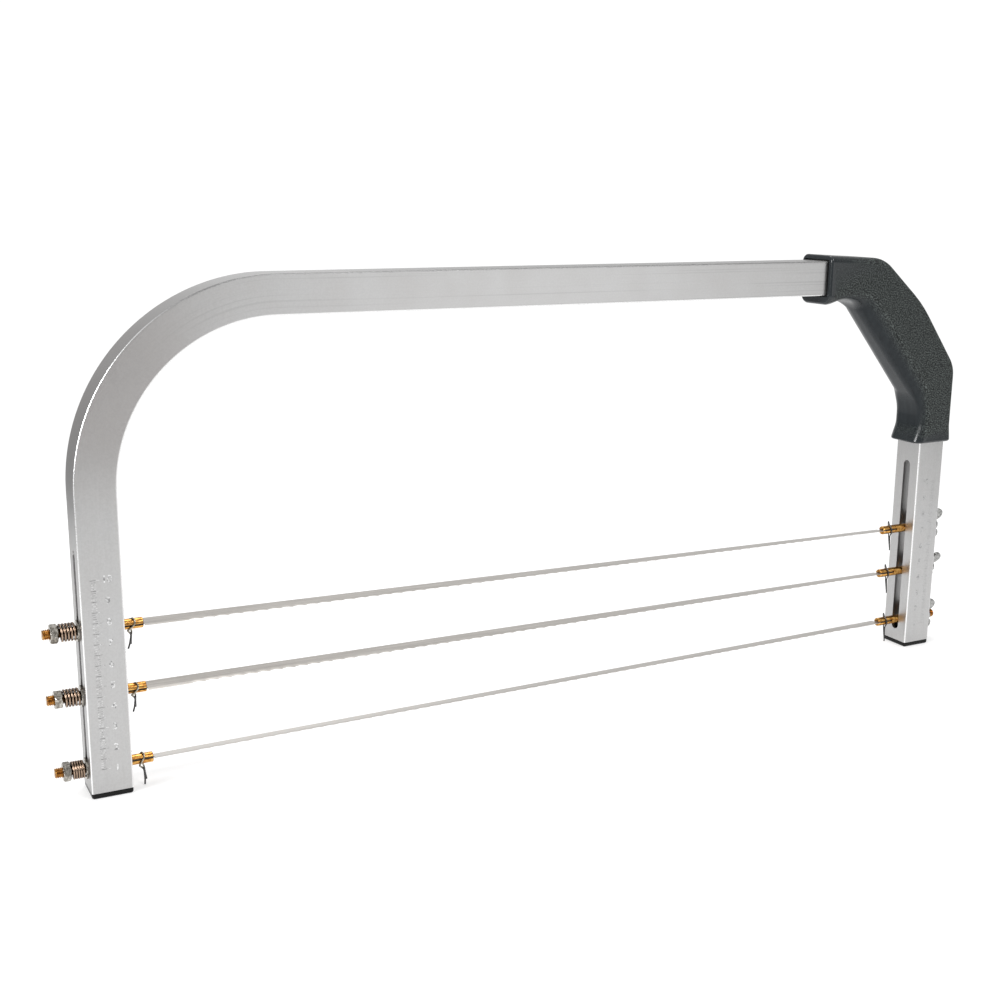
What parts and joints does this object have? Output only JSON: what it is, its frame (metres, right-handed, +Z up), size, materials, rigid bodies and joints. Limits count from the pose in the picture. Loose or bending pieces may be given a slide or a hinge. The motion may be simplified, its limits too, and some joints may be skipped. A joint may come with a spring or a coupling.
{
  "type": "cake leveler",
  "caption": "Bow-shaped cake leveler on two feet: square tube frame with a moulded corner grip, and serrated blades on spring-tensioned rods that slide in the legs' slots.",
  "frame": {"origin": "on the table, midway along the whole length and in the frame's mid-plane", "axes": "+X along the beam towards the grip, -Y to the front where the teeth point, +Z up"},
  "size_m": [0.5382, 0.026, 0.2408],
  "materials": {
    "frame_aluminium": "brushed, satin",
    "grip_plastic": "dark slate, finely stippled sides",
    "foot_rubber": "black, slightly glossy",
    "blade_steel": "satin",
    "rod_brass": "turned, bright",
    "clip_wire": "bright drawn wire",
    "spring_wire": "dark drawn wire with a bronze tint",
    "zinc_steel": "zinc plated"
  },
  "bodies": {
    "frame": {"bow_tube": "frame_aluminium", "handle_leg_tube": "frame_aluminium", "grip": "grip_plastic", "left_foot": "foot_rubber", "right_foot": "foot_rubber"},
    "top_blade_set": {"top_blade": "blade_steel", "top_tension_rod": "rod_brass", "top_anchor_rod": "rod_brass", "top_left_clip": "clip_wire", "top_right_clip": "clip_wire", "top_left_washer": "zinc_steel", "top_right_washer": "zinc_steel", "top_spring": "spring_wire"},
    "top_hex_nut": {"top_hex_nut": "zinc_steel"},
    "top_wing_nut": {"top_wing_nut": "zinc_steel"},
    "middle_blade_set": {"middle_blade": "blade_steel", "middle_tension_rod": "rod_brass", "middle_anchor_rod": "rod_brass", "middle_left_clip": "clip_wire", "middle_right_clip": "clip_wire", "middle_left_washer": "zinc_steel", "middle_right_washer": "zinc_steel", "middle_spring": "spring_wire"},
    "middle_hex_nut": {"middle_hex_nut": "zinc_steel"},
    "middle_wing_nut": {"middle_wing_nut": "zinc_steel"},
    "bottom_blade_set": {"bottom_blade": "blade_steel", "bottom_tension_rod": "rod_brass", "bottom_anchor_rod": "rod_brass", "bottom_left_clip": "clip_wire", "bottom_right_clip": "clip_wire", "bottom_left_washer": "zinc_steel", "bottom_right_washer": "zinc_steel", "bottom_spring": "spring_wire"},
    "bottom_hex_nut": {"bottom_hex_nut": "zinc_steel"},
    "bottom_wing_nut": {"bottom_wing_nut": "zinc_steel"}
  },
  "joints": [
    {"name": "top_height", "type": "slide", "parent": "frame", "child": "top_blade_set", "axis": [0, 0, 1], "range_m": [-0.0015, 0.0345]},
    {"name": "top_hex_nut_turn", "type": "hinge", "parent": "top_blade_set", "child": "top_hex_nut", "pos_m": [-0.2612, 0, 0.0791], "axis": [1, 0, 0], "continuous": true},
    {"name": "top_wing_nut_turn", "type": "hinge", "parent": "top_blade_set", "child": "top_wing_nut", "pos_m": [0.2618, 0, 0.0743], "axis": [1, 0, 0], "continuous": true},
    {"name": "middle_height", "type": "slide", "parent": "frame", "child": "middle_blade_set", "axis": [0, 0, 1], "range_m": [-0.005, 0.0045]},
    {"name": "middle_hex_nut_turn", "type": "hinge", "parent": "middle_blade_set", "child": "middle_hex_nut", "pos_m": [-0.2612, 0, 0.0478], "axis": [1, 0, 0], "continuous": true},
    {"name": "middle_wing_nut_turn", "type": "hinge", "parent": "middle_blade_set", "child": "middle_wing_nut", "pos_m": [0.2618, 0, 0.0471], "axis": [1, 0, 0], "continuous": true},
    {"name": "bottom_height", "type": "slide", "parent": "frame", "child": "bottom_blade_set", "axis": [0, 0, 1], "range_m": [0, 0.0055]},
    {"name": "bottom_hex_nut_turn", "type": "hinge", "parent": "bottom_blade_set", "child": "bottom_hex_nut", "pos_m": [-0.2612, 0, 0.0123], "axis": [1, 0, 0], "continuous": true},
    {"name": "bottom_wing_nut_turn", "type": "hinge", "parent": "bottom_blade_set", "child": "bottom_wing_nut", "pos_m": [0.2618, 0, 0.0157], "axis": [1, 0, 0], "continuous": true}
  ]
}
